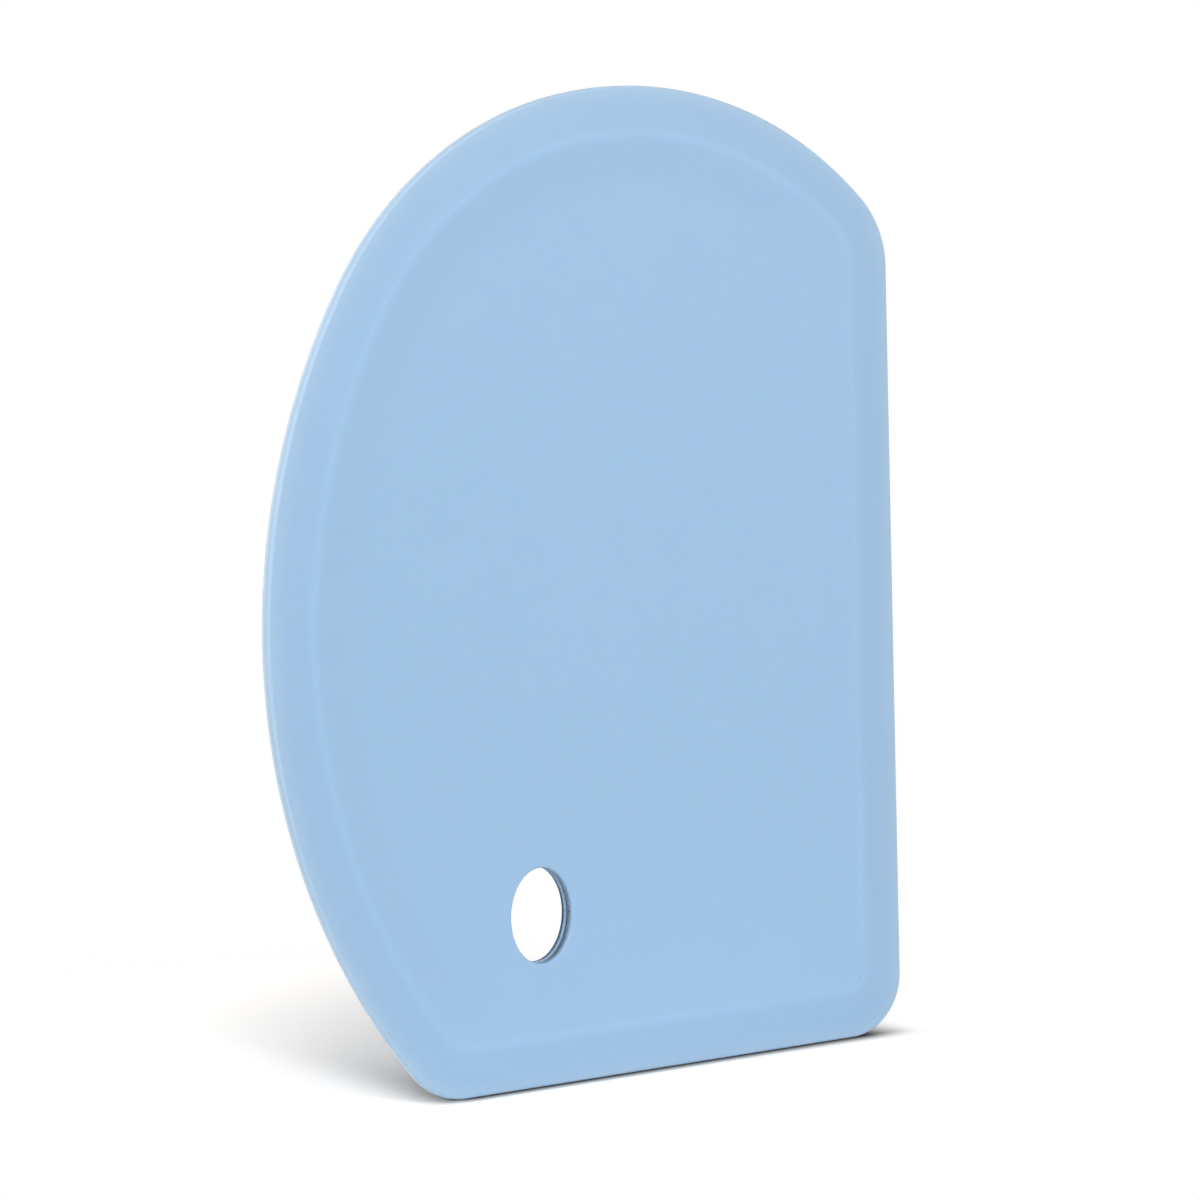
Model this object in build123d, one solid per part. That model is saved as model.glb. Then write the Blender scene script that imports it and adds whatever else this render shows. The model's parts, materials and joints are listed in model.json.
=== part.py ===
from build123d import *
from math import atan2, cos, degrees, radians, sin, sqrt
import os

# Bowl scraper: a thin steel stiffener with a silicone jacket moulded round it.
# The blade stands upright on its short base. Seen from the front, the long straight edge
# is at +X and the curved edge at -X. The front faces -Y. Lengths are in millimetres.

# Outline of the blade, from the base round the curved side and over the top.
# Each arc runs smoothly into the next and turns the outline by its own angle.
heel_radius = 10.7
heel_turn = 51.2
belly_radius = 103.9
belly_turn = 69.3
shoulder_radius = 56.5
shoulder_turn = 47.6
crown_radius = 61.7
crown_turn = 56.9
nose_radius = 15.2
toe_radius = 9.3
full_turn = 270.0

# Section of the blade, from its edge inwards
edge_thickness = 2.2
edge_rounding = 0.6
edge_rounding_steps = 5
crest_thickness = 4.1
crest_inset = 7.35
crest_land = 1.0
dish_bevel_width = 4.8
dish_easing_width = 3.0
dish_easing_steps = 4
field_thickness = 3.2

# Corner radii of the crest line and of the flat field, which are softer than a parallel line
crest_heel_radius = 6.0
crest_nose_radius = 9.0
crest_toe_radius = 3.5
field_heel_radius = 7.0
field_nose_radius = 8.0
field_toe_radius = 5.0

# Hanging hole: an oval through the flat field, with rounded rims
hole_half_width = 5.3
hole_half_height = 7.25
hole_from_straight_edge = 67.25
hole_above_base = 26.15
hole_rim_rounding = 0.45

# Steel stiffener, in the middle of the blade's thickness
stiffener_thickness = 0.6
stiffener_inset = 8.6
stiffener_heel_radius = 8.0
stiffener_nose_radius = 10.0
stiffener_toe_radius = 8.0
stiffener_setback = 0.25

# Locking holes round the stiffener's rim, through which the silicone joins front to back
locking_hole_radius = 2.0
locking_hole_inset = 5.0
locking_hole_count = 16

# How far a cutting shape runs past the face that it cuts
overrun = 1.0


def arc_centres():
    """Centres of the belly, shoulder, crown and nose arcs, with the base's left end at the origin."""
    x = 0.0
    z = 0.0
    heading = 180.0
    centres = []
    turns = [heel_turn, belly_turn, shoulder_turn, crown_turn]
    turns.append(full_turn - sum(turns))
    radii = [heel_radius, belly_radius, shoulder_radius, crown_radius, nose_radius]
    for radius, turn in zip(radii, turns):
        side = radians(heading - 90)
        centre_x = x + radius * cos(side)
        centre_z = z + radius * sin(side)
        centres.append((centre_x, centre_z))
        heading = heading - turn
        back = radians(heading + 90)
        x = centre_x + radius * cos(back)
        z = centre_z + radius * sin(back)
    return centres, x


ARC_CENTRES, STRAIGHT_EDGE = arc_centres()
BELLY, SHOULDER, CROWN = ARC_CENTRES[1:4]
CREST_CORNERS = (crest_heel_radius, crest_nose_radius, crest_toe_radius)
FIELD_CORNERS = (field_heel_radius, field_nose_radius, field_toe_radius)
STIFFENER_CORNERS = (stiffener_heel_radius, stiffener_nose_radius, stiffener_toe_radius)


def arc(centre, radius, start, end):
    """Arc about a centre, from one angle to another in degrees, either way round."""
    return CenterArc(centre, radius, start, end - start)


def outline(inset, heel, nose, toe):
    """Closed outline that lies inset from the blade's edge, with its own corner radii."""
    edge_x = STRAIGHT_EDGE - inset

    heel_z = inset + heel
    heel_x = BELLY[0] - sqrt((belly_radius - inset - heel) ** 2 - (heel_z - BELLY[1]) ** 2)
    heel_angle = degrees(atan2(heel_z - BELLY[1], heel_x - BELLY[0])) % 360
    nose_x = edge_x - nose
    nose_z = CROWN[1] + sqrt((crown_radius - inset - nose) ** 2 - (nose_x - CROWN[0]) ** 2)
    nose_angle = degrees(atan2(nose_z - CROWN[1], nose_x - CROWN[0]))

    belly_end = full_turn - heel_turn - belly_turn
    shoulder_end = belly_end - shoulder_turn
    edges = [
        Line((edge_x - toe, inset), (heel_x, inset)),
        arc((heel_x, heel_z), heel, full_turn, heel_angle),
        arc(BELLY, belly_radius - inset, heel_angle, belly_end),
        arc(SHOULDER, shoulder_radius - inset, belly_end, shoulder_end),
        arc(CROWN, crown_radius - inset, shoulder_end, nose_angle),
        arc((nose_x, nose_z), nose, nose_angle, 0),
        Line((edge_x, nose_z), (edge_x, inset + toe)),
        arc((edge_x - toe, inset + toe), toe, 0, -90),
    ]
    return Wire(edges)


EDGE_LINE = outline(0, heel_radius, nose_radius, toe_radius)
MIDDLE = EDGE_LINE.bounding_box().center().X


def at_depth(shape, depth):
    """Stand a flat shape upright, with the blade's middle at x = 0, and move it to the front."""
    return Plane.XZ.offset(depth) * Pos(-MIDDLE, 0) * shape


def plate(wire, thickness):
    """Flat plate of the given outline, half its thickness each side of the middle plane."""
    return extrude(at_depth(Face(wire), 0), amount=thickness / 2, both=True)


def loft_rings(rings):
    """Solid through a list of outlines and their depths, with straight flanks between them."""
    return Solid.make_loft([at_depth(wire, depth) for wire, depth in rings], True)


def hanging_hole(grow, thickness):
    """Oval bar of the hanging hole's shape, wider all round by grow."""
    oval = Ellipse(hole_half_width + grow, hole_half_height + grow)
    placed = Pos(STRAIGHT_EDGE - hole_from_straight_edge, hole_above_base) * oval
    return extrude(at_depth(placed, 0), amount=thickness / 2, both=True)


def stiffener_blank():
    """Steel plate with its locking holes, before the hanging hole is cut."""
    blank = plate(outline(stiffener_inset, *STIFFENER_CORNERS), stiffener_thickness)
    ring = outline(stiffener_inset + locking_hole_inset, *STIFFENER_CORNERS)
    for number in range(locking_hole_count):
        spot = ring @ (number / locking_hole_count)
        hole = at_depth(Pos(spot.X, spot.Y) * Circle(locking_hole_radius), 0)
        blank -= extrude(hole, amount=stiffener_thickness / 2 + overrun, both=True)
    return blank


def stiffener():
    """Steel plate that gives the blade its spring, cut out round the hanging hole."""
    return stiffener_blank() - hanging_hole(stiffener_setback, stiffener_thickness + 2 * overrun)


def blended(corners_a, corners_b, share):
    """Corner radii part of the way from one set to another."""
    return [a + (b - a) * share for a, b in zip(corners_a, corners_b)]


def lip_and_crest():
    """Front half of the blade: outer wall, rounded edge, tapered lip and the crest's flat top."""
    half = edge_thickness / 2
    rings = [(EDGE_LINE, 0)]
    for step in range(edge_rounding_steps + 1):
        angle = radians(90 * step / edge_rounding_steps)
        inset = edge_rounding * (1 - cos(angle))
        depth = half - edge_rounding * (1 - sin(angle))
        corners = (heel_radius - inset, nose_radius - inset, toe_radius - inset)
        rings.append((outline(inset, *corners), depth))
    rings.append((outline(crest_inset - crest_land / 2, *CREST_CORNERS), crest_thickness / 2))
    return loft_rings(rings)


def dish():
    """Hollow inside the crest: a straight bevel, then an easing down into the flat field."""
    field_depth = field_thickness / 2
    drop = (crest_thickness - field_thickness) / 2
    start = crest_inset + crest_land / 2
    width = dish_bevel_width + dish_easing_width
    slope = drop / (dish_bevel_width + dish_easing_width / 2)
    rings = [(outline(start, *CREST_CORNERS), crest_thickness / 2)]
    for step in range(dish_easing_steps + 1):
        left = dish_easing_width * (1 - step / dish_easing_steps)
        along = width - left
        corners = blended(CREST_CORNERS, FIELD_CORNERS, along / width)
        depth = field_depth + slope * left ** 2 / (2 * dish_easing_width)
        rings.append((outline(start + along, *corners), depth))
    return loft_rings(rings)


def jacket():
    """Silicone body, alike on both faces, moulded round the stiffener."""
    half = lip_and_crest() - dish()
    body = half + mirror(half, about=Plane.XZ)
    body -= hanging_hole(0, crest_thickness + 2 * overrun)
    mouths = [edge for edge in body.edges() if is_hole_mouth(edge)]
    body = fillet(mouths, hole_rim_rounding)
    return body - stiffener_blank()


def is_hole_mouth(edge):
    """True for an edge where the hanging hole opens in the flat field."""
    box = edge.bounding_box()
    slack = hole_rim_rounding / 10
    oval = abs(box.size.X - 2 * hole_half_width) < slack and abs(box.size.Z - 2 * hole_half_height) < slack
    return oval and abs(abs(box.center().Y) - field_thickness / 2) < slack


pieces = {"silicone_jacket": jacket(), "steel_stiffener": stiffener()}
for name, shape in pieces.items():
    export_step(shape, "parts/" + name + ".step")

box = pieces["silicone_jacket"].bounding_box()
print("blade %.2f wide, %.2f thick, %.2f high" % (box.size.X, box.size.Y, box.size.Z))
print("hanging hole at x %.3f" % (STRAIGHT_EDGE - hole_from_straight_edge - MIDDLE))
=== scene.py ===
import json
from math import atan2, cos, pi, radians, sin, sqrt

import bpy
from mathutils import Matrix, Vector


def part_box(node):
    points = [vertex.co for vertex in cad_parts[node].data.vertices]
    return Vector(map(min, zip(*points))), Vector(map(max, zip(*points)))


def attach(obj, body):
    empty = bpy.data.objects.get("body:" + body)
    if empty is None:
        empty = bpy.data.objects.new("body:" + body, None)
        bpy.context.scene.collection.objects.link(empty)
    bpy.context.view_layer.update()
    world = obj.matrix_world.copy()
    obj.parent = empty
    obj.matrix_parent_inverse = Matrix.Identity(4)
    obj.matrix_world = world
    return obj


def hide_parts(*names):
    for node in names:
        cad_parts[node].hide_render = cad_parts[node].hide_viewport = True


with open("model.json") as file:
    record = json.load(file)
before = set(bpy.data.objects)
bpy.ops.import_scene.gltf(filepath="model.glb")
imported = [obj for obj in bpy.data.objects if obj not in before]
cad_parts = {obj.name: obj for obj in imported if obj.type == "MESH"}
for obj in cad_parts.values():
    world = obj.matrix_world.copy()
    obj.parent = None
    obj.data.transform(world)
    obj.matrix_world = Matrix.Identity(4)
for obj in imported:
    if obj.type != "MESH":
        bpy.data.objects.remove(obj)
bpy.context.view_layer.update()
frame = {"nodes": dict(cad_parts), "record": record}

bl_info = {
    "name": "Bowl scraper",
    "version": (1, 0, 0),
    "blender": (4, 5, 0),
    "location": "View3D > Sidebar > Scraper",
    "description": "Builds a silicone bowl scraper over its steel stiffener, in a small studio",
    "category": "Object",
}

JACKET_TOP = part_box("silicone_jacket")[1].z
STEEL_LOW, STEEL_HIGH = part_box("steel_stiffener")
HOLE_PLACE = next(m["pos_m"] for m in frame["record"]["mounts"] if m["name"] == "hanging_hole")
BODY = "root"
MM = 0.001
IMAGE_PIXELS = 1200
SENSOR_WIDTH = 36.0

# Depth of the front face at the hanging hole, which the camera is aimed at
FIELD_FACE = -1.6 * MM

LIGHT_DISTANCE = 3.0
FLOOR_REACH = 6.0
WELD_DISTANCE = 1e-7

# What the outline's arcs turn it by together, from the base to the straight side
FULL_TURN = 1.5 * pi

# Guide lines inside the blade's edge, and the values that the section leaves on the skin
GUIDE_NAMES = ("crest", "field", "mouth", "wall")
# The tone and shade attributes carry the painted highlight, sheen, glow and shade
TONE = "tone"
SHADE = "shade"
FRONT_SHADE = "front_shade"
BACK_SHADE = "back_shade"


class Socket:
    """An output socket that does arithmetic: each expression adds a Math node to its tree."""

    def __init__(self, nodes, socket):
        self.nodes = nodes
        self.socket = socket

    def math(self, operation, *others):
        values = {0: self}
        for place, other in enumerate(others, 1):
            values[place] = other
        return self.nodes.add("ShaderNodeMath", {"operation": operation}, values)

    def reflected(self, operation, other):
        return self.nodes.add("ShaderNodeMath", {"operation": operation}, {0: other, 1: self})

    def __add__(self, other):
        return self.math("ADD", other)

    def __radd__(self, other):
        return self.reflected("ADD", other)

    def __sub__(self, other):
        return self.math("SUBTRACT", other)

    def __rsub__(self, other):
        return self.reflected("SUBTRACT", other)

    def __mul__(self, other):
        return self.math("MULTIPLY", other)

    def __rmul__(self, other):
        return self.reflected("MULTIPLY", other)

    def __truediv__(self, other):
        return self.math("DIVIDE", other)

    def clamped(self):
        """The same number, held between 0 and 1."""
        return self.nodes.add("ShaderNodeClamp", {}, {0: self})


class Nodes:
    """Adds nodes to one node tree and links them."""

    def __init__(self, tree):
        self.tree = tree

    def add(self, kind, settings=None, values=None, output=0):
        """Add a node, set its settings and then its sockets' values or links, and return one output."""
        node = self.tree.nodes.new(kind)
        for name, value in (settings or {}).items():
            setattr(node, name, value)
        for name, value in (values or {}).items():
            if isinstance(value, Socket):
                self.tree.links.new(value.socket, node.inputs[name])
            else:
                node.inputs[name].default_value = value
        return Socket(self, node.outputs[output]) if len(node.outputs) else node

    def mix_colour(self, factor, colour_a, colour_b):
        """Blend of two colours; the Mix node's colour sockets are its inputs 6 and 7, output 2."""
        settings = {"data_type": "RGBA", "clamp_factor": True}
        return self.add("ShaderNodeMix", settings, {0: factor, 6: colour_a, 7: colour_b}, 2)

    def mix_vector(self, factor, vector_a, vector_b):
        """Blend of two vectors; the Mix node's vector sockets are its inputs 4 and 5, output 1."""
        settings = {"data_type": "VECTOR", "clamp_factor": True}
        return self.add("ShaderNodeMix", settings, {0: factor, 4: vector_a, 5: vector_b}, 1)


class OutlineSizes(bpy.types.PropertyGroup):
    """Radii and turns of the blade's outline, from the base round the curved side and over the top."""

    heel_radius: bpy.props.FloatProperty(
        name="Heel radius",
        description="Corner at the foot of the curved side",
        default=10.7 * MM,
        unit="LENGTH",
    )
    heel_turn: bpy.props.FloatProperty(
        name="Heel turn",
        description="Angle that the heel turns the outline by",
        default=radians(51.2),
        subtype="ANGLE",
    )
    belly_radius: bpy.props.FloatProperty(
        name="Belly radius",
        description="Long curve of the curved side",
        default=103.9 * MM,
        unit="LENGTH",
    )
    belly_turn: bpy.props.FloatProperty(
        name="Belly turn",
        description="Angle that the belly turns the outline by",
        default=radians(69.3),
        subtype="ANGLE",
    )
    shoulder_radius: bpy.props.FloatProperty(
        name="Shoulder radius",
        description="Curve from the side to the top",
        default=56.5 * MM,
        unit="LENGTH",
    )
    shoulder_turn: bpy.props.FloatProperty(
        name="Shoulder turn",
        description="Angle that the shoulder turns the outline by",
        default=radians(47.6),
        subtype="ANGLE",
    )
    crown_radius: bpy.props.FloatProperty(
        name="Crown radius",
        description="Curve over the top",
        default=61.7 * MM,
        unit="LENGTH",
    )
    crown_turn: bpy.props.FloatProperty(
        name="Crown turn",
        description="Angle that the crown turns the outline by",
        default=radians(56.9),
        subtype="ANGLE",
    )
    nose_radius: bpy.props.FloatProperty(
        name="Nose radius",
        description="Corner at the top of the straight side",
        default=15.2 * MM,
        unit="LENGTH",
    )
    toe_radius: bpy.props.FloatProperty(
        name="Toe radius",
        description="Corner at the foot of the straight side",
        default=9.3 * MM,
        unit="LENGTH",
    )


class SectionSizes(bpy.types.PropertyGroup):
    """Thickness of the blade from its edge inwards, and the lines that its relief follows."""

    edge_thickness: bpy.props.FloatProperty(
        name="Edge thickness",
        description="Thickness at the blade's edge",
        default=2.2 * MM,
        unit="LENGTH",
    )
    edge_rounding: bpy.props.FloatProperty(
        name="Edge rounding",
        description="Radius along the blade's edge",
        default=0.6 * MM,
        unit="LENGTH",
    )
    crest_thickness: bpy.props.FloatProperty(
        name="Crest thickness",
        description="Thickness over both crests",
        default=4.1 * MM,
        unit="LENGTH",
    )
    crest_inset: bpy.props.FloatProperty(
        name="Crest inset",
        description="Distance of the crest line from the edge",
        default=7.35 * MM,
        unit="LENGTH",
    )
    crest_side_extra: bpy.props.FloatProperty(
        name="Crest side extra",
        description="How much further in the crest runs along the straight side",
        default=0.55 * MM,
        unit="LENGTH",
    )
    crest_base_extra: bpy.props.FloatProperty(
        name="Crest base extra",
        description="How much further in the crest runs along the base",
        default=0.37 * MM,
        unit="LENGTH",
    )
    crest_softness: bpy.props.FloatProperty(
        name="Crest softness",
        description="Height over which the crest is rounded off",
        default=0.14 * MM,
        unit="LENGTH",
    )
    dish_bevel_width: bpy.props.FloatProperty(
        name="Dish bevel width",
        description="Width of the straight slope inside the crest",
        default=5.3 * MM,
        unit="LENGTH",
    )
    dish_easing_width: bpy.props.FloatProperty(
        name="Dish easing width",
        description="Width over which the slope eases into the field",
        default=3.0 * MM,
        unit="LENGTH",
    )
    bead_height: bpy.props.FloatProperty(
        name="Bead height",
        description="Height of the fine bead along the crest",
        default=0.03 * MM,
        unit="LENGTH",
    )
    bead_width: bpy.props.FloatProperty(
        name="Bead width",
        description="Half the width of that bead",
        default=1.0 * MM,
        unit="LENGTH",
    )
    # The crest, lip and dish tones below are painted light: a highlight along the crest, and shade on the
    # sloping lip and dish
    crest_highlight: bpy.props.FloatProperty(
        name="Crest tone",
        description="Tone of the silicone along the crest, from -1, deep, to 1, pale",
        default=0.3,
    )
    crest_highlight_width: bpy.props.FloatProperty(
        name="Crest tone width",
        description="Half the width of the crest's paler tone",
        default=1.5 * MM,
        unit="LENGTH",
    )
    lip_shade: bpy.props.FloatProperty(
        name="Lip tone",
        description="Tone of the lip, from -1, deep, to 1, pale",
        default=-0.68,
    )
    dish_shade: bpy.props.FloatProperty(
        name="Dish tone",
        description="Tone of the dish, from -1, deep, to 1, pale",
        default=-0.24,
    )
    # Painted sheen along the blade's thin rim, in a greyer colour
    rim_sheen_width: bpy.props.FloatProperty(
        name="Rim width",
        description="Width of the paler rim",
        default=3.2 * MM,
        unit="LENGTH",
    )
    front_glow: bpy.props.FloatProperty(
        name="Front glow",
        description="Share of the glow tone on the front half of the blade's outer wall",
        default=0.2,
        subtype="FACTOR",
    )
    back_glow: bpy.props.FloatProperty(
        name="Back glow",
        description="Share of the glow tone on the back half of the blade's outer wall",
        default=1.0,
        subtype="FACTOR",
    )
    crest_heel_radius: bpy.props.FloatProperty(
        name="Crest heel radius",
        description="Crest line's corner at the heel",
        default=6.0 * MM,
        unit="LENGTH",
    )
    crest_nose_radius: bpy.props.FloatProperty(
        name="Crest nose radius",
        description="Crest line's corner at the nose",
        default=9.0 * MM,
        unit="LENGTH",
    )
    crest_toe_radius: bpy.props.FloatProperty(
        name="Crest toe radius",
        description="Crest line's corner at the toe",
        default=3.5 * MM,
        unit="LENGTH",
    )
    field_heel_radius: bpy.props.FloatProperty(
        name="Field heel radius",
        description="Flat field's corner at the heel",
        default=7.0 * MM,
        unit="LENGTH",
    )
    field_nose_radius: bpy.props.FloatProperty(
        name="Field nose radius",
        description="Flat field's corner at the nose",
        default=8.0 * MM,
        unit="LENGTH",
    )
    field_toe_radius: bpy.props.FloatProperty(
        name="Field toe radius",
        description="Flat field's corner at the toe",
        default=5.0 * MM,
        unit="LENGTH",
    )
    field_thickness: bpy.props.FloatProperty(
        name="Field thickness",
        description="Thickness of the flat field",
        default=3.2 * MM,
        unit="LENGTH",
    )


class HoleSizes(bpy.types.PropertyGroup):
    """Hanging hole, and the groove in its wall where the stiffener's edge shows."""

    half_width: bpy.props.FloatProperty(
        name="Half width",
        description="Half the oval's width",
        default=5.3 * MM,
        unit="LENGTH",
    )
    half_height: bpy.props.FloatProperty(
        name="Half height",
        description="Half the oval's height",
        default=7.25 * MM,
        unit="LENGTH",
    )
    rim_rounding: bpy.props.FloatProperty(
        name="Rim rounding",
        description="Radius along the hole's mouths",
        default=0.45 * MM,
        unit="LENGTH",
    )
    # Painted shade in the front half of the hole's wall
    bore_shade: bpy.props.FloatProperty(
        name="Bore shade",
        description="Share of the dark tone on the front half of the hole's wall",
        default=0.22,
        subtype="FACTOR",
    )
    # A dark line round the hole's back mouth, in the shade colour
    back_mouth_line_width: bpy.props.FloatProperty(
        name="Seam width",
        description="Width of the dark seam on the wall, at the back mouth",
        default=0.42 * MM,
        unit="LENGTH",
    )
    groove_depth: bpy.props.FloatProperty(
        name="Groove depth",
        description="Depth of the groove to past the stiffener's edge",
        default=0.4 * MM,
        unit="LENGTH",
    )
    groove_play: bpy.props.FloatProperty(
        name="Groove play",
        description="Room each side of the stiffener in the groove",
        default=0.02 * MM,
        unit="LENGTH",
    )


class Finishes(bpy.types.PropertyGroup):
    """Colours and finish of the silicone, the steel and the floor, with the colours of the painted
    highlight, sheen, glow and shade on the silicone.
    """

    silicone: bpy.props.FloatVectorProperty(
        name="Silicone",
        description="Colour of the silicone",
        default=(0.374, 0.560, 0.770),
        size=3,
        subtype="COLOR",
    )
    silicone_cast: bpy.props.FloatVectorProperty(
        name="Silicone cast",
        description="Faint other cast of the silicone",
        default=(0.368, 0.562, 0.770),
        size=3,
        subtype="COLOR",
    )
    # Colour of the painted shade on the sloping lip and dish
    silicone_slope_shade: bpy.props.FloatVectorProperty(
        name="Silicone deep",
        description="Deeper tone, as on the lip and the dish",
        default=(0.355, 0.532, 0.731),
        size=3,
        subtype="COLOR",
    )
    # Colour of the painted highlight along the crest
    silicone_crest_highlight: bpy.props.FloatVectorProperty(
        name="Silicone pale",
        description="Paler tone, as along the crest",
        default=(0.398, 0.596, 0.811),
        size=3,
        subtype="COLOR",
    )
    silicone_roughness: bpy.props.FloatProperty(
        name="Silicone roughness",
        description="Roughness of the matt moulded skin",
        default=0.52,
        subtype="FACTOR",
    )
    speck: bpy.props.FloatVectorProperty(
        name="Speck",
        description="Colour of the few tiny specks",
        default=(0.16, 0.27, 0.45),
        size=3,
        subtype="COLOR",
    )
    # Colour of the painted sheen along the rim
    silicone_rim_sheen: bpy.props.FloatVectorProperty(
        name="Silicone rim",
        description="Greyer tone of the blade's thin rim",
        default=(0.408, 0.573, 0.745),
        size=3,
        subtype="COLOR",
    )
    silicone_glow: bpy.props.FloatVectorProperty(
        name="Silicone glow",
        description="Pale tone where light comes through the thin edge",
        default=(0.60, 0.74, 0.90),
        size=3,
        subtype="COLOR",
    )
    # Colour of the painted shade in the hole's front half, and of the dark line round its back mouth
    silicone_shade: bpy.props.FloatVectorProperty(
        name="Silicone shade",
        description="Dark tone of the seam round the hole's back mouth",
        default=(0.03, 0.07, 0.15),
        size=3,
        subtype="COLOR",
    )
    # The steel's dark blue is darker than bare steel, as painted shade for the groove in the hole where its
    # edge shows
    steel: bpy.props.FloatVectorProperty(
        name="Steel",
        description="Colour of the spring steel",
        default=(0.07, 0.16, 0.29),
        size=3,
        subtype="COLOR",
    )
    floor: bpy.props.FloatVectorProperty(
        name="Floor",
        description="Colour of the pale floor",
        default=(0.90, 0.90, 0.90),
        size=3,
        subtype="COLOR",
    )
    floor_tint: bpy.props.FloatVectorProperty(
        name="Floor tint",
        description="Tint of the floor's shade, which takes up the blue light off the blade",
        default=(1.03, 1.0, 0.97),
        size=3,
        subtype="COLOR",
    )


class Studio(bpy.types.PropertyGroup):
    """Camera, lights, and the floor's cast and painted shade."""

    azimuth: bpy.props.FloatProperty(
        name="Azimuth",
        description="Camera's turn round the blade from square on",
        default=radians(-33.0),
        subtype="ANGLE",
    )
    elevation: bpy.props.FloatProperty(
        name="Elevation",
        description="Camera's height angle",
        default=radians(5.70),
        subtype="ANGLE",
    )
    roll: bpy.props.FloatProperty(
        name="Roll",
        description="Camera's turn about its own axis",
        default=radians(1.515),
        subtype="ANGLE",
    )
    lens: bpy.props.FloatProperty(
        name="Lens",
        description="Focal length in millimetres on a 36 mm sensor",
        default=135.0,
    )
    hole_pixel_x: bpy.props.FloatProperty(
        name="Hole pixel X",
        description="Where the front mouth of the hole shows, across the picture",
        default=542.27,
    )
    hole_pixel_y: bpy.props.FloatProperty(
        name="Hole pixel Y",
        description="Where the front mouth of the hole shows, down the picture",
        default=916.0,
    )
    hole_distance: bpy.props.FloatProperty(
        name="Hole distance",
        description="Depth of the hole in front of the camera",
        default=675.3 * MM,
        unit="LENGTH",
    )
    key_level: bpy.props.FloatProperty(
        name="Key level",
        description="Brightness that the high soft light in front gives a white card facing it",
        default=0.236,
    )
    front_level: bpy.props.FloatProperty(
        name="Front level",
        description="The same for the soft light above the camera",
        default=0.31,
    )
    side_level: bpy.props.FloatProperty(
        name="Side level",
        description="The same for the narrow light beside the curved side",
        default=0.347,
    )
    right_level: bpy.props.FloatProperty(
        name="Right level",
        description="The same for the low light in front at the right",
        default=0.207,
    )
    ambient: bpy.props.FloatProperty(
        name="Ambient",
        description="Strength of the light from all round",
        default=0.264,
    )
    floor_lift: bpy.props.FloatProperty(
        name="Floor lift",
        description="How pale the floor near the blade looks to the camera",
        default=1.74,
    )
    shade_x: bpy.props.FloatProperty(
        name="Shade X",
        description="Middle of the part of the floor that shows its shade",
        default=-25 * MM,
        unit="LENGTH",
    )
    shade_y: bpy.props.FloatProperty(
        name="Shade Y",
        description="The same, across the blade",
        default=40 * MM,
        unit="LENGTH",
    )
    shade_near: bpy.props.FloatProperty(
        name="Shade near",
        description="Distance from there within which the floor shows all its shade",
        default=62 * MM,
        unit="LENGTH",
    )
    shade_far: bpy.props.FloatProperty(
        name="Shade far",
        description="Distance from there past which the floor is plain white",
        default=90 * MM,
        unit="LENGTH",
    )
    # The dark line at the foot, set by the next six, is a painted shadow
    heel_shade_far: bpy.props.FloatProperty(
        name="Heel shade far",
        description="Where the dark line at the foot ends past the heel",
        default=-36.5 * MM,
        unit="LENGTH",
    )
    heel_shade_near: bpy.props.FloatProperty(
        name="Heel shade near",
        description="Where that line starts to fade towards the heel",
        default=-23 * MM,
        unit="LENGTH",
    )
    toe_shade_near: bpy.props.FloatProperty(
        name="Toe shade near",
        description="Where that line starts to fade towards the toe",
        default=48 * MM,
        unit="LENGTH",
    )
    toe_shade_far: bpy.props.FloatProperty(
        name="Toe shade far",
        description="Where that line ends past the toe",
        default=60 * MM,
        unit="LENGTH",
    )
    front_shade: bpy.props.FloatProperty(
        name="Front shade",
        description="Distance before the foot at which that line has faded",
        default=5.8 * MM,
        unit="LENGTH",
    )
    back_shade: bpy.props.FloatProperty(
        name="Back shade",
        description="Distance behind the foot at which that line is half as dark",
        default=15.7 * MM,
        unit="LENGTH",
    )


GROUPS = {
    "scraper_outline": OutlineSizes,
    "scraper_section": SectionSizes,
    "scraper_hole": HoleSizes,
    "scraper_finishes": Finishes,
    "scraper_studio": Studio,
}


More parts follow.
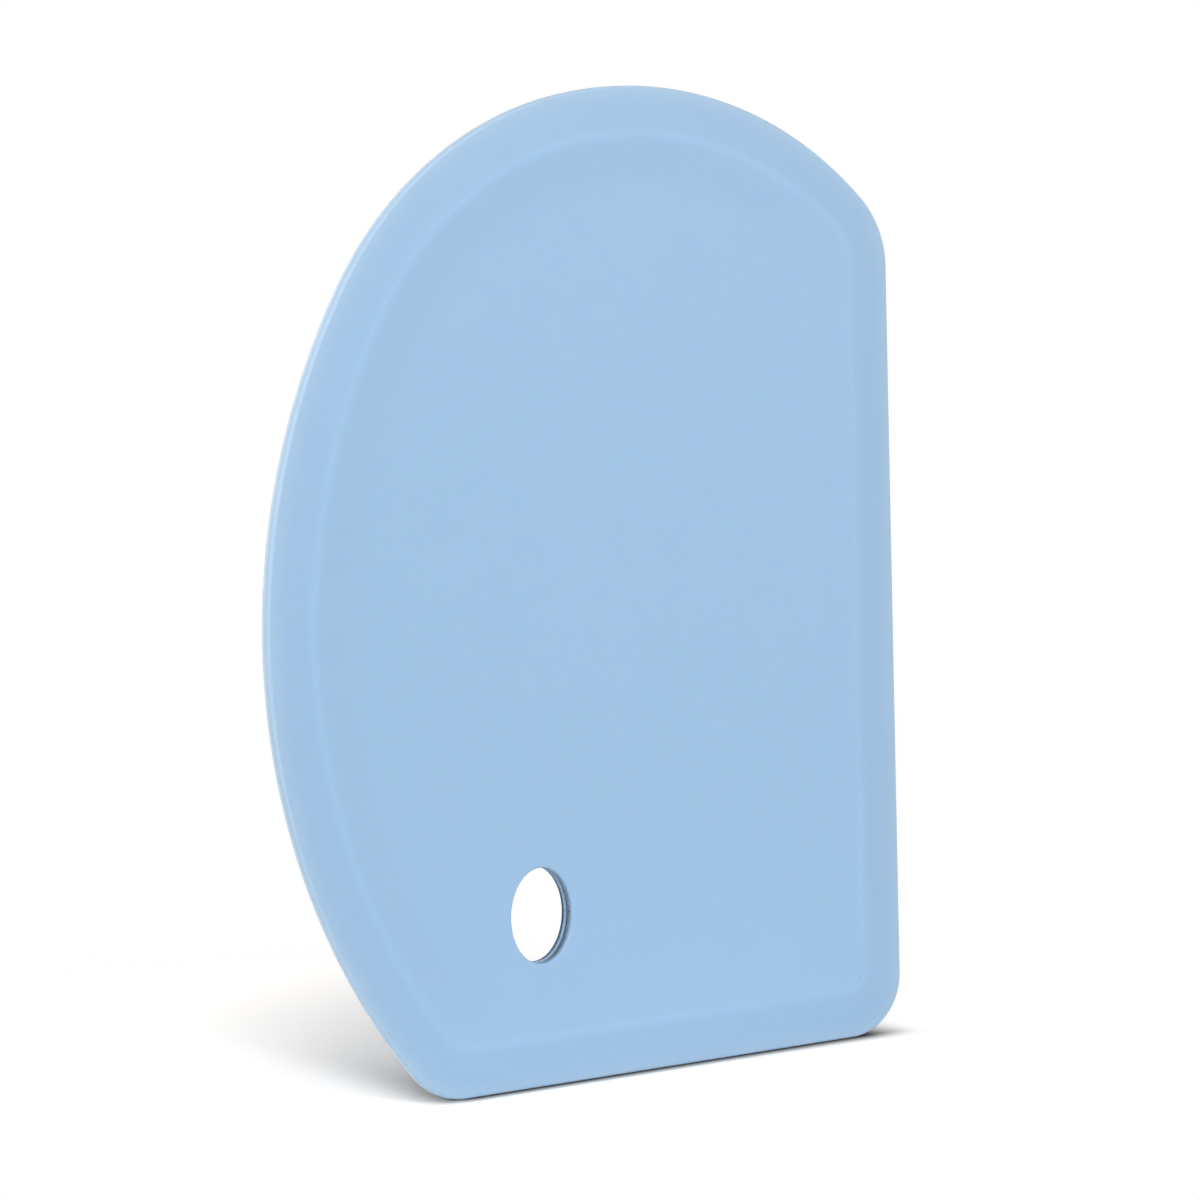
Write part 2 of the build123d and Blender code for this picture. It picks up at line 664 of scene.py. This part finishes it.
class Outline:
    """The blade's outline at any inset, sampled at the same stations each time."""

    corner_steps = 26
    belly_steps = 110
    shoulder_steps = 46
    crown_steps = 66
    straight_steps = 48

    def __init__(self, sizes):
        self.sizes = sizes
        radii = (
            sizes.heel_radius,
            sizes.belly_radius,
            sizes.shoulder_radius,
            sizes.crown_radius,
            sizes.nose_radius,
        )
        turns = [sizes.heel_turn, sizes.belly_turn, sizes.shoulder_turn, sizes.crown_turn]
        turns.append(FULL_TURN - sum(turns))
        point = Vector((0, 0))
        heading = pi
        centres = []
        for radius, turn in zip(radii, turns):
            centre = point + radius * Vector((cos(heading - pi / 2), sin(heading - pi / 2)))
            centres.append(centre)
            heading -= turn
            point = centre + radius * Vector((cos(heading + pi / 2), sin(heading + pi / 2)))
        self.belly, self.shoulder, self.crown = centres[1:4]
        self.straight_x = point.x
        self.belly_end = FULL_TURN - sizes.heel_turn - sizes.belly_turn
        self.shoulder_end = self.belly_end - sizes.shoulder_turn
        self.middle = 0.5 * (self.straight_x + self.belly.x - sizes.belly_radius)

    def ring(self, inset, heel, nose, toe, side=0, base=0):
        """Points of the outline at this inset with its own corner radii, in the blade's frame.

        Side and base say how much further in the straight side and the base lie.
        """
        sizes = self.sizes
        edge_x = self.straight_x - inset - side
        base_z = inset + base
        heel_z = base_z + heel
        belly_reach = sizes.belly_radius - inset
        heel_x = self.belly.x - sqrt((belly_reach - heel) ** 2 - (heel_z - self.belly.y) ** 2)
        heel_angle = atan2(heel_z - self.belly.y, heel_x - self.belly.x) % (2 * pi)
        nose_x = edge_x - nose
        crown_reach = sizes.crown_radius - inset
        nose_z = self.crown.y + sqrt((crown_reach - nose) ** 2 - (nose_x - self.crown.x) ** 2)
        nose_angle = atan2(nose_z - self.crown.y, nose_x - self.crown.x)
        shoulder_reach = sizes.shoulder_radius - inset
        corner_steps = self.corner_steps
        shoulder_steps = self.shoulder_steps
        points = self.line((edge_x - toe, base_z), (heel_x, base_z))
        points += self.arc((heel_x, heel_z), heel, FULL_TURN, heel_angle, corner_steps)
        points += self.arc(self.belly, belly_reach, heel_angle, self.belly_end, self.belly_steps)
        points += self.arc(self.shoulder, shoulder_reach, self.belly_end, self.shoulder_end, shoulder_steps)
        points += self.arc(self.crown, crown_reach, self.shoulder_end, nose_angle, self.crown_steps)
        points += self.arc((nose_x, nose_z), nose, nose_angle, 0, corner_steps)
        points += self.line((edge_x, nose_z), (edge_x, base_z + toe))
        points += self.arc((edge_x - toe, base_z + toe), toe, 0, -pi / 2, corner_steps)
        return [Vector((x - self.middle, 0, z)) for x, z in points]

    def line(self, start, end):
        """Points of a straight stretch, without its last."""
        run = end[0] - start[0]
        rise = end[1] - start[1]
        steps = self.straight_steps
        return [(start[0] + run * i / steps, start[1] + rise * i / steps) for i in range(steps)]

    @staticmethod
    def arc(centre, radius, start, end, steps):
        """Points of an arc, without its last."""
        angles = [start + (end - start) * i / steps for i in range(steps)]
        return [(centre[0] + radius * cos(a), centre[1] + radius * sin(a)) for a in angles]


def oval_ring(stations, centre, half_width, half_height):
    """Points of the hanging hole, one for each station, in the direction that the station lies."""
    points = []
    for station in stations:
        angle = atan2((station.z - centre.z) / half_height, (station.x - centre.x) / half_width)
        points.append(centre + Vector((half_width * cos(angle), 0, half_height * sin(angle))))
    return points


def soft_lower(a, b, softness):
    """The lower of two heights, with the corner between them rounded off."""
    return 0.5 * (a + b - sqrt((a - b) ** 2 + softness ** 2))


def eased(share):
    """Smooth step from 0 to 1."""
    share = min(1, max(0, share))
    return share * share * (3 - 2 * share)


def painted_relief_light(section, inset):
    """Painted light at this distance from the edge: shade on the lip and the dish, down to -1, and a
    highlight along the crest, up to 1.
    """
    from_crest = inset - section.crest_inset
    crest = eased(1 - abs(from_crest) / section.crest_highlight_width)
    dish_width = section.dish_bevel_width + section.dish_easing_width
    if from_crest > 0:
        slope = section.dish_shade * eased((dish_width - from_crest) / section.dish_easing_width)
    else:
        slope = section.lip_shade
    return section.crest_highlight * crest + (1 - crest) * slope


def bead_height(section, inset):
    """Height of the fine bead along the crest at this distance from the edge."""
    share = min(1, abs(inset - section.crest_inset) / section.bead_width)
    return section.bead_height * (1 - share ** 2) ** 2


def section_insets(section, dish_width):
    """Distances from the edge at which the lip, the crest and the dish have a ring."""
    lip_bend = 2.4 * MM
    crest_reach = 1.6 * MM
    crest_start = section.crest_inset - crest_reach
    crest_end = section.crest_inset + crest_reach
    insets = []
    for start, end, count in (
        (section.edge_rounding, lip_bend, 9),
        (lip_bend, crest_start, 8),
        (crest_start, crest_end, 24),
        (crest_end, section.crest_inset + dish_width, 20),
    ):
        insets += [start + (end - start) * (i + 1) / count for i in range(count)]
    return insets


def section_points(section, hole):
    """Each ring of the blade's front half, from its edge in to the hole: reach, depth and tone, the painted
    shade on the lip and the dish and the painted highlight along the crest.

    Reach counts the guide lines: 0 at the edge, 1 at the crest, 2 at the field, 3 at the hole's mouth and 4
    at its wall. Depth is measured from the middle of the thickness. Two more lists give each ring's shade
    on the front and the back half: up to 1 is painted shade in the hole's front half, 1 the dark line round
    its back mouth, -1 the painted sheen on the rim and -2 the painted glow at the thin edge.
    """
    edge = section.edge_thickness / 2
    crest = section.crest_thickness / 2
    field = section.field_thickness / 2
    rounding = section.edge_rounding
    edge_tone = painted_relief_light(section, 0)
    outer_wall_share = 0.6
    points = [(0, 0, edge_tone), (0, outer_wall_share * (edge - rounding), edge_tone)]
    rounding_steps = 10
    for step in range(rounding_steps + 1):
        angle = 0.5 * pi * step / rounding_steps
        inset = rounding * (1 - cos(angle))
        depth = edge - rounding * (1 - sin(angle))
        points.append((inset / section.crest_inset, depth, painted_relief_light(section, inset)))

    lip_slope = (crest - edge) / (section.crest_inset - rounding)
    easing = section.dish_easing_width
    dish_width = section.dish_bevel_width + easing
    dish_slope = (crest - field) / (section.dish_bevel_width + easing / 2)
    for inset in section_insets(section, dish_width):
        along = inset - section.crest_inset
        lip = edge + lip_slope * (inset - rounding)
        left = dish_width - along
        curve = field + dish_slope * left ** 2 / (2 * easing)
        dish = curve if left < easing else crest - dish_slope * along
        depth = soft_lower(lip, dish, section.crest_softness) + bead_height(section, inset)
        reach = inset / section.crest_inset if along <= 0 else 1 + along / dish_width
        points.append((reach, depth, painted_relief_light(section, inset)))
    field_reaches = (2.02, 2.1, 2.4, 2.8, 2.95, 2.99)
    points += [(reach, field, 0) for reach in field_reaches]

    # Painted sheen on the rim and painted glow at the thin edge, on each half
    front_shade = []
    back_shade = []
    for reach, _, _ in points:
        inset = reach * section.crest_inset
        rim_sheen = eased(inset / section.rim_sheen_width) - 1
        thin = 1 - eased(inset / rounding)
        front_shade.append(rim_sheen - section.front_glow * thin)
        back_shade.append(rim_sheen - section.back_glow * thin)

    rim = hole.rim_rounding
    rim_steps = 8
    # Round the hole's mouths: painted shade on the front, and the dark line on the back
    for step in range(rim_steps + 1):
        angle = 0.5 * pi * step / rim_steps
        points.append((3 + sin(angle), field - rim * (1 - cos(angle)), 0))
        inner = eased(2 * step / rim_steps - 1)
        front_shade.append(hole.bore_shade * inner)
        back_shade.append(inner)
    wall = field - rim
    groove = (STEEL_HIGH.y - STEEL_LOW.y) / 2 + hole.groove_play
    bottom = 4 - hole.groove_depth / rim
    line_dark_share = 0.6
    # The hole's wall: painted shade on the front half, and the dark line at the back mouth
    bore = [
        (4, wall - line_dark_share * hole.back_mouth_line_width, 0),
        (4, wall - hole.back_mouth_line_width, 0),
        (4, 0.5 * (wall + groove), 0),
        (4, groove, 0),
        (bottom, groove, 0),
        (bottom, 0, 0),
    ]
    points += bore
    front_shade += [hole.bore_shade] * len(bore)
    back_shade += [1] + [0] * (len(bore) - 1)
    return points, front_shade, back_shade


def line_mesh(name, points, closed=False):
    """Mesh of points joined one to the next."""
    edges = [(i, i + 1) for i in range(len(points) - 1)]
    if closed:
        edges.append((len(points) - 1, 0))
    mesh = bpy.data.meshes.new(name)
    mesh.from_pydata(points, edges, [])
    return mesh


def sweep_tree():
    """Geometry Nodes that carry a section round a blade's guide lines, once for each face."""
    tree = bpy.data.node_groups.new("Blade sweep", "GeometryNodeTree")
    tree.interface.new_socket("Guides", in_out="INPUT", socket_type="NodeSocketGeometry")
    tree.interface.new_socket("Section", in_out="INPUT", socket_type="NodeSocketObject")
    tree.interface.new_socket("Weld distance", in_out="INPUT", socket_type="NodeSocketFloat")
    tree.interface.new_socket("Skin", in_out="INPUT", socket_type="NodeSocketMaterial")
    tree.interface.new_socket("Blade", in_out="OUTPUT", socket_type="NodeSocketGeometry")
    nodes = Nodes(tree)
    entry = tree.nodes.new("NodeGroupInput")
    guides, section, weld, skin = [Socket(nodes, entry.outputs[i]) for i in range(4)]

    profile = nodes.add("GeometryNodeObjectInfo", {}, {"Object": section}, "Geometry")
    stations = nodes.add("GeometryNodeAttributeDomainSize", {"component": "MESH"}, {0: guides})
    rings = nodes.add("GeometryNodeAttributeDomainSize", {"component": "MESH"}, {0: profile})
    values = {"Size X": 1.0, "Size Y": 1.0, "Vertices X": stations + 1, "Vertices Y": rings}
    sheet = nodes.add("GeometryNodeMeshGrid", {}, values)

    def sample(geometry, value, index):
        """A vector that the geometry's points hold, at this index."""
        settings = {"data_type": "FLOAT_VECTOR", "domain": "POINT"}
        values = {"Geometry": geometry, "Value": value, "Index": index}
        return nodes.add("GeometryNodeSampleIndex", settings, values)

    def part(vector, axis):
        """One number of a vector."""
        return nodes.add("ShaderNodeSeparateXYZ", {}, {0: vector}, axis)

    place = nodes.add("GeometryNodeInputPosition")
    station = ((part(place, "X") + 0.5) * stations).math("ROUND").math("FLOORED_MODULO", stations)
    ring = ((part(place, "Y") + 0.5) * (rings - 1)).math("ROUND")

    section_point = sample(profile, place, ring)
    spot = sample(guides, place, station)
    for number, name in enumerate(GUIDE_NAMES):
        settings = {"data_type": "FLOAT_VECTOR"}
        guide = nodes.add("GeometryNodeInputNamedAttribute", settings, {"Name": name})
        share = (part(section_point, "X") - number).clamped()
        spot = nodes.mix_vector(share, spot, sample(guides, guide, station))
    lift = nodes.add("ShaderNodeCombineXYZ", {}, {"Y": -1 * part(section_point, "Y")})
    spot = nodes.add("ShaderNodeVectorMath", {"operation": "ADD"}, {0: spot, 1: lift})

    settings = {"data_type": "FLOAT", "domain": "POINT"}
    values = {"Geometry": sheet, "Name": TONE, "Value": part(section_point, "Z")}
    toned = nodes.add("GeometryNodeStoreNamedAttribute", settings, values)

    def half(shade_name):
        """One half of the skin, in place, with the painted shade, sheen and glow that the section holds
        under this name.
        """
        shade = nodes.add("GeometryNodeInputNamedAttribute", {"data_type": "FLOAT"}, {"Name": shade_name})
        values = {"Geometry": profile, "Value": shade, "Index": ring}
        shade = nodes.add("GeometryNodeSampleIndex", settings, values)
        values = {"Geometry": toned, "Name": SHADE, "Value": shade}
        shaded = nodes.add("GeometryNodeStoreNamedAttribute", settings, values)
        return nodes.add("GeometryNodeSetPosition", {}, {"Geometry": shaded, "Position": spot})

    front = nodes.add("GeometryNodeFlipFaces", {}, {0: half(FRONT_SHADE)})
    back = nodes.add("GeometryNodeTransform", {}, {"Geometry": half(BACK_SHADE), "Scale": (1, -1, 1)})
    both = tree.nodes.new("GeometryNodeJoinGeometry")
    for side in (front, back):
        tree.links.new(side.socket, both.inputs[0])
    values = {"Geometry": Socket(nodes, both.outputs[0]), "Distance": weld}
    closed = nodes.add("GeometryNodeMergeByDistance", {}, values)
    smooth = nodes.add("GeometryNodeSetShadeSmooth", {}, {"Geometry": closed, "Shade Smooth": True})
    real = nodes.add("GeometryNodeRealizeInstances", {}, {"Geometry": smooth})
    done = nodes.add("GeometryNodeSetMaterial", {}, {"Geometry": real, "Material": skin})
    nodes.add("NodeGroupOutput", {}, {0: done})
    return tree


def guide_mesh(outline, section, hole):
    """Ring of stations round the blade's edge that also holds the place of each inner guide line."""
    sizes = outline.sizes
    edge = outline.ring(0, sizes.heel_radius, sizes.nose_radius, sizes.toe_radius)
    side = section.crest_side_extra
    base = section.crest_base_extra
    corners = (section.crest_heel_radius, section.crest_nose_radius, section.crest_toe_radius)
    crest = outline.ring(section.crest_inset, *corners, side, base)
    field_inset = section.crest_inset + section.dish_bevel_width + section.dish_easing_width
    corners = (section.field_heel_radius, section.field_nose_radius, section.field_toe_radius)
    field = outline.ring(field_inset, *corners, side, base)
    centre = Vector((HOLE_PLACE[0], 0, HOLE_PLACE[2]))
    rim = hole.rim_rounding
    mouth = oval_ring(field, centre, hole.half_width + rim, hole.half_height + rim)
    wall = oval_ring(field, centre, hole.half_width, hole.half_height)
    mesh = line_mesh("guides", edge, closed=True)
    for name, ring in zip(GUIDE_NAMES, (crest, field, mouth, wall)):
        attribute = mesh.attributes.new(name, "FLOAT_VECTOR", "POINT")
        attribute.data.foreach_set("vector", [c for point in ring for c in point])
    return mesh


def new_object(name, mesh):
    """Object at the origin that holds this mesh."""
    obj = bpy.data.objects.new(name, mesh)
    bpy.context.scene.collection.objects.link(obj)
    return obj


def silicone_material(finishes):
    """Matt moulded silicone: a faint cast of colour, painted highlight, sheen, glow and shade, a fine skin
    and a few tiny specks.
    """
    material = bpy.data.materials.new("silicone")
    material.use_nodes = True
    tree = material.node_tree
    tree.nodes.clear()
    nodes = Nodes(tree)
    place = nodes.add("ShaderNodeTexCoord", {}, {}, "Object")

    cast = nodes.add("ShaderNodeTexNoise", {}, {"Vector": place, "Scale": 22.0, "Detail": 2.0}, 0)
    colour = nodes.mix_colour(cast, (*finishes.silicone, 1), (*finishes.silicone_cast, 1))
    # The tone paints shade on the lip and the dish and a highlight along the crest
    tone = nodes.add("ShaderNodeAttribute", {"attribute_name": TONE}, {}, "Fac")
    colour = nodes.mix_colour((0 - tone).clamped(), colour, (*finishes.silicone_slope_shade, 1))
    colour = nodes.mix_colour(tone.clamped(), colour, (*finishes.silicone_crest_highlight, 1))
    # Above 0 the shade paints shade in the hole's front half and the dark line round its back mouth
    shade = nodes.add("ShaderNodeAttribute", {"attribute_name": SHADE}, {}, "Fac")
    colour = nodes.mix_colour(shade.clamped(), colour, (*finishes.silicone_shade, 1))
    # Below 0 the shade paints a sheen on the rim and, below -1, a glow at the thin edge
    colour = nodes.mix_colour((0 - shade).clamped(), colour, (*finishes.silicone_rim_sheen, 1))
    colour = nodes.mix_colour((-1 - shade).clamped(), colour, (*finishes.silicone_glow, 1))
    settings = {"feature": "F1", "distance": "EUCLIDEAN"}
    values = {"Vector": place, "Scale": 85.0, "Randomness": 1.0}
    cells = nodes.add("ShaderNodeTexVoronoi", settings, values, "Distance")
    pick = nodes.add("ShaderNodeTexNoise", {}, {"Vector": place, "Scale": 60.0, "Detail": 0.0}, 0)
    fall_off = 55.0
    pick_level = 0.64
    pick_gain = 30.0
    dot = (1 - cells * fall_off).clamped()
    picked = ((pick - pick_level) * pick_gain).clamped()
    colour = nodes.mix_colour(dot * picked, colour, (*finishes.speck, 1))

    values = {"Vector": place, "Scale": 2600.0, "Detail": 3.0, "Roughness": 0.6}
    skin = nodes.add("ShaderNodeTexNoise", {}, values, 0)
    swell = nodes.add("ShaderNodeTexNoise", {}, {"Vector": place, "Scale": 300.0, "Detail": 2.0}, 0)
    skin_change = 0.12
    cast_change = 0.06
    swell_share = 0.8
    rough = finishes.silicone_roughness + (skin - 0.5) * skin_change + (cast - 0.5) * cast_change
    values = {"Strength": 0.25, "Distance": 0.02 * MM, "Height": skin + swell * swell_share}
    bump = nodes.add("ShaderNodeBump", {}, values)
    shader = nodes.add("ShaderNodeBsdfPrincipled", {}, {
        "Base Color": colour,
        "Roughness": rough,
        "IOR": 1.41,
        "Subsurface Weight": 0.7,
        "Subsurface Radius": (0.9, 1.0, 1.2),
        "Subsurface Scale": 0.5 * MM,
        "Normal": bump,
    })
    nodes.add("ShaderNodeOutputMaterial", {}, {"Surface": shader})
    return material


def steel_material(finishes):
    """Rolled spring steel, with a fine grain along the blade."""
    material = bpy.data.materials.new("spring_steel")
    material.use_nodes = True
    tree = material.node_tree
    tree.nodes.clear()
    nodes = Nodes(tree)
    place = nodes.add("ShaderNodeTexCoord", {}, {}, "Object")
    stretched = nodes.add("ShaderNodeMapping", {}, {"Vector": place, "Scale": (1.0, 1.0, 0.02)})
    grain = nodes.add("ShaderNodeTexNoise", {}, {"Vector": stretched, "Scale": 4000.0, "Detail": 4.0}, 0)
    dull = nodes.add("ShaderNodeTexNoise", {}, {"Vector": place, "Scale": 120.0, "Detail": 3.0}, 0)
    grain_tone = 0.6
    darker = [grain_tone * c for c in finishes.steel]
    colour = nodes.mix_colour(grain, (*finishes.steel, 1), (*darker, 1))
    rough = 0.30 + grain * 0.15 + dull * 0.1
    bump = nodes.add("ShaderNodeBump", {}, {"Strength": 0.2, "Distance": 0.01 * MM, "Height": grain})
    shader = nodes.add("ShaderNodeBsdfPrincipled", {}, {
        "Base Color": colour,
        "Metallic": 1.0,
        "Roughness": rough,
        "Normal": bump,
    })
    nodes.add("ShaderNodeOutputMaterial", {}, {"Surface": shader})
    return material


def seen_white(nodes):
    """1 for rays that show the surroundings themselves, straight or in gloss and glass, else 0."""
    kinds = ("Is Camera Ray", "Is Glossy Ray", "Is Transmission Ray")
    camera, glossy, transmission = [nodes.add("ShaderNodeLightPath", {}, {}, kind) for kind in kinds]
    return (camera + glossy + transmission).clamped()


def floor_material(finishes, studio):
    """Pale floor that is white to the camera, apart from the shade that the blade casts behind it and a
    painted shadow along its foot.
    """
    material = bpy.data.materials.new("pale_floor")
    material.use_nodes = True
    tree = material.node_tree
    tree.nodes.clear()
    nodes = Nodes(tree)
    place = nodes.add("ShaderNodeTexCoord", {}, {}, "Object")
    across = nodes.add("ShaderNodeSeparateXYZ", {}, {0: place}, "X")
    depth = nodes.add("ShaderNodeSeparateXYZ", {}, {0: place}, "Y")

    def step(value, low, high):
        """0 below the low value, 1 above the high one and smooth between them."""
        values = {"Value": value, "From Min": low, "From Max": high, "To Min": 0.0, "To Max": 1.0}
        return nodes.add("ShaderNodeMapRange", {"interpolation_type": "SMOOTHSTEP"}, values)

    # Painted shadow along the foot: it fades past the heel and the toe, within a few millimetres in front,
    # and halves every back_shade behind
    foot_depth = 0.3 * MM
    along = step(across, studio.heel_shade_far, studio.heel_shade_near)
    along = along * (1 - step(across, studio.toe_shade_near, studio.toe_shade_far))
    before = 1 - step(0 - depth, foot_depth, studio.front_shade)
    halvings = depth.math("MAXIMUM", 0.0) / studio.back_shade
    behind = nodes.add("ShaderNodeMath", {"operation": "POWER"}, {0: 0.5, 1: halvings})
    open_share = 1 - along * before * behind

    shown = seen_white(nodes)
    tinted = [open_share * (studio.floor_lift * tint) for tint in finishes.floor_tint]
    lifted = nodes.add("ShaderNodeCombineColor", {}, dict(enumerate(tinted)))
    colour = nodes.mix_colour(shown, (*finishes.floor, 1), lifted)
    lit = nodes.add("ShaderNodeBsdfDiffuse", {}, {"Color": colour})
    # The painted shadow also darkens the plain white
    grey = nodes.add("ShaderNodeCombineColor", {}, {0: open_share, 1: open_share, 2: open_share})
    white = nodes.add("ShaderNodeEmission", {}, {"Color": grey, "Strength": 1.0})
    centre = (studio.shade_x, studio.shade_y, 0)
    distance = nodes.add("ShaderNodeVectorMath", {"operation": "DISTANCE"}, {0: place, 1: centre}, "Value")
    near, far = studio.shade_near, studio.shade_far
    away = ((distance - near) / (far - near)).clamped()
    surface = nodes.add("ShaderNodeMixShader", {}, {0: shown * away, 1: lit, 2: white})
    nodes.add("ShaderNodeOutputMaterial", {}, {"Surface": surface})
    return material


class SCRAPER_OT_silicone_jacket(bpy.types.Operator):
    """Make the silicone jacket by carrying its section round the blade's guide lines"""

    bl_idname = "scraper.silicone_jacket"
    bl_label = "Silicone jacket"

    def execute(self, context):
        scene = context.scene
        outline = Outline(scene.scraper_outline)
        jacket = new_object("silicone_skin", guide_mesh(outline, scene.scraper_section, scene.scraper_hole))
        points, front_shade, back_shade = section_points(scene.scraper_section, scene.scraper_hole)
        section = new_object("jacket_section", line_mesh("jacket_section", points))
        for name, shades in ((FRONT_SHADE, front_shade), (BACK_SHADE, back_shade)):
            section.data.attributes.new(name, "FLOAT", "POINT").data.foreach_set("value", shades)
        material = silicone_material(scene.scraper_finishes)

        sweep = jacket.modifiers.new("Sweep", "NODES")
        sweep.node_group = sweep_tree()
        inputs = {"Section": section, "Weld distance": WELD_DISTANCE, "Skin": material}
        for item in sweep.node_group.interface.items_tree:
            if item.name in inputs:
                sweep[item.identifier] = inputs[item.name]
        context.view_layer.update()
        evaluated = jacket.evaluated_get(context.evaluated_depsgraph_get())
        mesh = bpy.data.meshes.new_from_object(evaluated)
        jacket.modifiers.remove(sweep)
        jacket.data = mesh
        bpy.data.objects.remove(section)
        if len(mesh.polygons) == 0:
            raise RuntimeError("the jacket's sweep gave no faces")

        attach(jacket, BODY)
        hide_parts("silicone_jacket")
        return {"FINISHED"}


class SCRAPER_OT_steel_stiffener(bpy.types.Operator):
    """Give the steel stiffener its rolled finish"""

    bl_idname = "scraper.steel_stiffener"
    bl_label = "Steel stiffener"

    def execute(self, context):
        stiffener = frame["nodes"]["steel_stiffener"]
        material = steel_material(context.scene.scraper_finishes)
        stiffener.data.materials.clear()
        stiffener.data.materials.append(material)
        return {"FINISHED"}


def camera_matrix(studio):
    """Camera's place and turn that put the hole's front mouth at its pixel."""
    azimuth, elevation, roll = studio.azimuth, studio.elevation, studio.roll
    back = Vector((sin(azimuth) * cos(elevation), -cos(azimuth) * cos(elevation), sin(elevation)))
    level = Vector((cos(azimuth), sin(azimuth), 0))
    upright = back.cross(level)
    right = cos(roll) * level - sin(roll) * upright
    up = sin(roll) * level + cos(roll) * upright
    pixels_per_depth = studio.lens / SENSOR_WIDTH * IMAGE_PIXELS
    aside = (studio.hole_pixel_x - IMAGE_PIXELS / 2) / pixels_per_depth
    below = (studio.hole_pixel_y - IMAGE_PIXELS / 2) / pixels_per_depth
    mouth = Vector((HOLE_PLACE[0], FIELD_FACE, HOLE_PLACE[2]))
    place = mouth - studio.hole_distance * (aside * right - below * up - back)
    turn = Matrix((right, up, back)).transposed().to_4x4()
    return Matrix.Translation(place) @ turn


def area_light(name, level, size, azimuth, elevation):
    """Soft square light that faces the blade's middle, with its direction in degrees."""
    data = bpy.data.lights.new(name, "AREA")
    data.energy = level * (pi * LIGHT_DISTANCE) ** 2
    data.size = size
    light = bpy.data.objects.new(name, data)
    bpy.context.scene.collection.objects.link(light)
    turn, rise = radians(azimuth), radians(elevation)
    back = Vector((sin(turn) * cos(rise), -cos(turn) * cos(rise), sin(rise)))
    light.location = Vector((0, 0, 0.5 * JACKET_TOP)) + LIGHT_DISTANCE * back
    light.rotation_euler = back.to_track_quat("Z", "Y").to_euler()


class SCRAPER_OT_studio(bpy.types.Operator):
    """Set up the floor, the lights, the world and the camera"""

    bl_idname = "scraper.studio"
    bl_label = "Studio"

    def execute(self, context):
        scene = context.scene
        studio = scene.scraper_studio
        data = bpy.data.cameras.new("camera")
        data.lens = studio.lens
        data.sensor_width = SENSOR_WIDTH
        data.sensor_fit = "HORIZONTAL"
        data.clip_start = 10 * MM
        camera = bpy.data.objects.new("camera", data)
        scene.collection.objects.link(camera)
        camera.matrix_world = camera_matrix(studio)
        scene.camera = camera

        reach = FLOOR_REACH
        corners = [(-reach, -reach, 0), (reach, -reach, 0), (reach, reach, 0), (-reach, reach, 0)]
        mesh = bpy.data.meshes.new("floor")
        mesh.from_pydata(corners, [], [(0, 1, 2, 3)])
        mesh.materials.append(floor_material(scene.scraper_finishes, studio))
        floor = new_object("floor", mesh)

        area_light("key", studio.key_level, size=1.7, azimuth=-17, elevation=50)
        area_light("front", studio.front_level, size=1.5, azimuth=-33, elevation=20)
        area_light("side", studio.side_level, size=0.4, azimuth=-90, elevation=25)
        area_light("right", studio.right_level, size=1.2, azimuth=33, elevation=12)

        world = bpy.data.worlds.new("studio_world")
        scene.world = world
        world.use_nodes = True
        world.node_tree.nodes.clear()
        nodes = Nodes(world.node_tree)
        strength = seen_white(nodes) * (1 - studio.ambient) + studio.ambient
        background = nodes.add("ShaderNodeBackground", {}, {"Color": (1, 1, 1, 1), "Strength": strength})
        nodes.add("ShaderNodeOutputWorld", {}, {"Surface": background})
        scene.view_settings.view_transform = "Standard"
        return {"FINISHED"}


class SCRAPER_PT_panel(bpy.types.Panel):
    """Sizes, finishes and operators of the bowl scraper"""

    bl_label = "Bowl scraper"
    bl_space_type = "VIEW_3D"
    bl_region_type = "UI"
    bl_category = "Scraper"

    def draw(self, context):
        layout = self.layout
        for name, group in GROUPS.items():
            box = layout.box()
            for prop in group.__annotations__:
                box.prop(getattr(context.scene, name), prop)
        for operator in OPERATORS:
            layout.operator(operator.bl_idname)


OPERATORS = (SCRAPER_OT_studio, SCRAPER_OT_silicone_jacket, SCRAPER_OT_steel_stiffener)
CLASSES = (*GROUPS.values(), *OPERATORS, SCRAPER_PT_panel)


def register():
    for cls in CLASSES:
        bpy.utils.register_class(cls)
    for name, group in GROUPS.items():
        setattr(bpy.types.Scene, name, bpy.props.PointerProperty(type=group))


def unregister():
    for name in GROUPS:
        delattr(bpy.types.Scene, name)
    for cls in reversed(CLASSES):
        bpy.utils.unregister_class(cls)


def main():
    """Build everything."""
    register()
    bpy.ops.scraper.studio()
    bpy.ops.scraper.silicone_jacket()
    bpy.ops.scraper.steel_stiffener()


if __name__ == "__main__":
    main()
